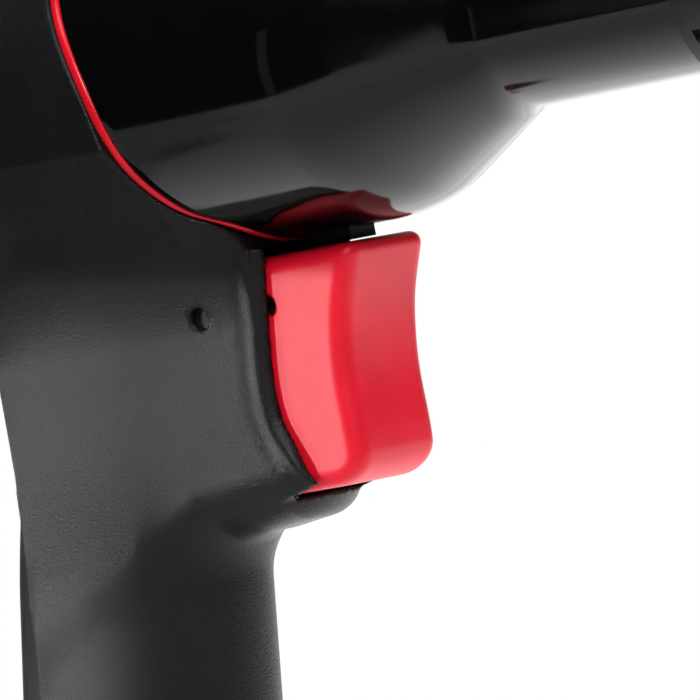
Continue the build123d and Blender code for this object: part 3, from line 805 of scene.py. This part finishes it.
fitted(grip_housing(), "grip", "grip_housing", "grip_plastic")
fitted(front_shroud(), "grip", "front_shroud", "shroud_gloss")
fitted(trigger_shell(), "trigger", "trigger", "trigger_red")
fitted(trim_bead(), "grip", "trim_ring", "trim_red")
for subpart in frame["record"]["subparts"]:
    if subpart["node"] in nodes:
        dress(nodes[subpart["node"]], FINISHES[subpart["material_slot"]])
for name in ("housing_stop_pin", "trigger_cross_pin"):
    dress(nodes[name], BLACKENED)


# ---- camera ----
def direction(azimuth, elevation):
    """The way out from the object: azimuth 0 is the -Y side, positive towards +X."""
    az, el = math.radians(azimuth), math.radians(elevation)
    return Vector((math.sin(az) * math.cos(el), -math.cos(az) * math.cos(el), math.sin(el)))


def facing(way, roll):
    """The rotation of a camera or light that stands that way out and looks back."""
    turn = way.to_track_quat("Z", "Y").to_matrix()
    return turn @ Matrix.Rotation(math.radians(roll), 3, "Z")


AZIMUTH = 40.0
ROLL = -10.6
DISTANCE = 2.5
TARGET = Vector(((REF + 12.26) * MM, 0.01028, -0.0593))

camera_data = bpy.data.cameras.new("camera")
camera_data.lens = 627.0
camera_data.sensor_width = 36.0
camera = linked("camera", camera_data)
back = direction(AZIMUTH, 0)
camera.matrix_world = (
    Matrix.Translation(TARGET + back * DISTANCE) @ facing(back, ROLL).to_4x4()
)
bpy.context.scene.camera = camera


# ---- studio: pale surroundings, glowing cards, softboxes and a floor ----
def pale_world():
    """White to the camera, and nearly dark to everything else."""
    world = bpy.data.worlds.new("studio")
    bpy.context.scene.world = world
    world.use_nodes = True
    tree = world.node_tree
    background = tree.nodes["Background"]
    white = tree.nodes.new("ShaderNodeBackground")
    set_input(background, "Color", (0.02, 0.02, 0.022, 1))
    set_input(white, "Color", (1, 1, 1, 1))
    path = tree.nodes.new("ShaderNodeLightPath")
    mix = tree.nodes.new("ShaderNodeMixShader")
    tree.links.new(path.outputs["Is Camera Ray"], mix.inputs["Fac"])
    tree.links.new(background.outputs[0], mix.inputs[1])
    tree.links.new(white.outputs[0], mix.inputs[2])
    tree.links.new(mix.outputs[0], tree.nodes["World Output"].inputs["Surface"])
    bpy.context.scene.view_settings.view_transform = "Standard"


def glowing_panel(name, corners):
    """A flat face with an emission material; returns the object, its tree and glow."""
    mat = bpy.data.materials.new(name)
    mat.use_nodes = True
    tree = mat.node_tree
    tree.nodes.clear()
    out = tree.nodes.new("ShaderNodeOutputMaterial")
    glow = tree.nodes.new("ShaderNodeEmission")
    tree.links.new(glow.outputs[0], out.inputs["Surface"])
    mesh = bpy.data.meshes.new(name)
    mesh.from_pydata(corners, [], [tuple(range(len(corners)))])
    mesh.materials.append(mat)
    obj = linked(name, mesh)
    return obj, tree, glow


def card(name, corners, strength, fade=None):
    """A glowing card that the camera doesn't see; fade is (axis, start, end, far strength)."""
    obj, tree, glow = glowing_panel(name, corners)
    set_input(glow, "Strength", strength)
    if fade:
        axis, start, end, far = fade
        where = tree.nodes.new("ShaderNodeTexCoord")
        split = tree.nodes.new("ShaderNodeSeparateXYZ")
        tree.links.new(where.outputs["Object"], split.inputs[0])
        level = spread(tree, split.outputs[axis], start, end, strength, far, "SMOOTHSTEP")
        tree.links.new(level, glow.inputs["Strength"])
    obj.visible_camera = False
    obj.visible_shadow = False


def softbox(name, azimuth, elevation, distance, aim, size, power, spread_angle, lean=0.0):
    """A gridded softbox that looks at aim from a direction, tilted by lean degrees."""
    data = bpy.data.lights.new(name, "AREA")
    data.shape = "RECTANGLE"
    data.size, data.size_y = size
    data.energy = power
    data.spread = math.radians(spread_angle)
    light = linked(name, data)
    way = direction(azimuth, elevation)
    light.location = Vector(aim) + way * distance
    light.rotation_euler = facing(way, lean).to_euler()
    light.visible_camera = False


pale_world()

GLOW_Z = -0.30             # height of the cards below the object
FRONT_Y = -0.6             # place of the cards in front of it
SIDE_X = 0.9
BACK_Y = 1.2
card(
    "floor_glow",
    [
        (-0.36, FRONT_Y, GLOW_Z),
        (1.4, FRONT_Y, GLOW_Z),
        (1.4, BACK_Y, GLOW_Z),
        (0.07, BACK_Y, GLOW_Z),
        (-0.06, 0.04, GLOW_Z),
        (-0.19, -0.35, GLOW_Z),
    ],
    0.55,
    fade=("Y", -0.35, 0.35, 2.4),
)
card(
    "floor_left",
    [
        (-1.2, -0.8, GLOW_Z),
        (-0.45, -0.8, GLOW_Z),
        (-0.14, -0.23, GLOW_Z),
        (-1.2, -0.23, GLOW_Z),
    ],
    0.36,
)
card(
    "floor_back",
    [
        (-1.6, 0.1, GLOW_Z),
        (0.07, 0.1, GLOW_Z),
        (0.07, BACK_Y, GLOW_Z),
        (-1.6, BACK_Y, GLOW_Z),
    ],
    1.8,
)
card(
    "front_card",
    [
        (-0.36, FRONT_Y, GLOW_Z),
        (1.4, FRONT_Y, GLOW_Z),
        (1.4, FRONT_Y, 0.30),
        (0.40, FRONT_Y, 0.30),
        (0.362, FRONT_Y, -0.10),
        (0.345, FRONT_Y, -0.14),
        (-0.33, FRONT_Y, -0.215),
        (-0.345, FRONT_Y, -0.255),
    ],
    0.62,
    fade=("Z", -0.05, 0.27, 0.05),
)
card(
    "barrel_card",
    [
        (-0.22, FRONT_Y, -0.18),
        (-0.11, FRONT_Y, -0.18),
        (-0.11, FRONT_Y, 0.25),
        (-0.22, FRONT_Y, 0.25),
    ],
    0.16,
)
card(
    "backdrop",
    [
        (-1.6, BACK_Y, -0.3),
        (0.3, BACK_Y, -0.3),
        (0.3, BACK_Y, 0.9),
        (-1.6, BACK_Y, 0.9),
    ],
    1.2,
)
card(
    "right_card",
    [
        (SIDE_X, -0.5, -0.3),
        (SIDE_X, 0.4, -0.3),
        (SIDE_X, 0.4, 0.5),
        (SIDE_X, -0.5, 0.5),
    ],
    0.14,
)

# Narrow beams along the handle's near side: their upper edge is the shade line on the flank.
KEY_TOP = -0.0405
KEY_SIZE = (0.40, 0.32)
KEY_AIM = (REF * MM - 0.01, -0.015, KEY_TOP - KEY_SIZE[1] / 2)
KEYS = [
    # azimuth, power, lean
    (-42, 0.20, -11.0),
    (-60, 0.075, -17.0),
    (-80, 0.035, -20.0),
]
for step, (azimuth, power, lean) in enumerate(KEYS):
    softbox(f"key_{step}", azimuth, 0, 0.2, KEY_AIM, KEY_SIZE, power, 1.6, lean)
softbox("top_box", 0, 68, 0.6, (REF * MM - 0.05, 0, 0.0), (0.3, 0.2), 0.5, 120)
softbox("fill_box", 40, 42, 0.8, (REF * MM, 0, -0.06), (0.25, 0.25), 2.2, 120)


FLOOR_RADIUS = 0.85
FLOOR_SHADE = (0.0, 0.16, 0.42, 0.84)    # from and to radius, strengths: the soft contact shade
FLOOR_FADE = (0.1, 0.42, 0.0, 0.16)      # from and to radius, what is added out to plain white


def pale_floor():
    """A pale disc just under the object, a little shaded around the handle's foot."""
    angles = np.linspace(0, 2 * math.pi, 97)[:-1]
    rim = [(FLOOR_RADIUS * math.cos(a), FLOOR_RADIUS * math.sin(a), 0) for a in angles]
    disc, tree, glow = glowing_panel("pale_floor", rim)
    disc.location = (hand_centre(FOOT_Z) * MM, 0, cad_box[0][2] - 0.0005)
    where = tree.nodes.new("ShaderNodeTexCoord")
    length = tree.nodes.new("ShaderNodeVectorMath")
    length.operation = "LENGTH"
    tree.links.new(where.outputs["Object"], length.inputs[0])
    away = length.outputs["Value"]
    total = tree.nodes.new("ShaderNodeMath")
    total.operation = "ADD"
    shade = spread(tree, away, *FLOOR_SHADE, "SMOOTHERSTEP")
    tree.links.new(shade, total.inputs[0])
    tree.links.new(spread(tree, away, *FLOOR_FADE), total.inputs[1])
    tree.links.new(total.outputs[0], glow.inputs["Strength"])
    disc.visible_diffuse = disc.visible_glossy = disc.visible_shadow = False


pale_floor()
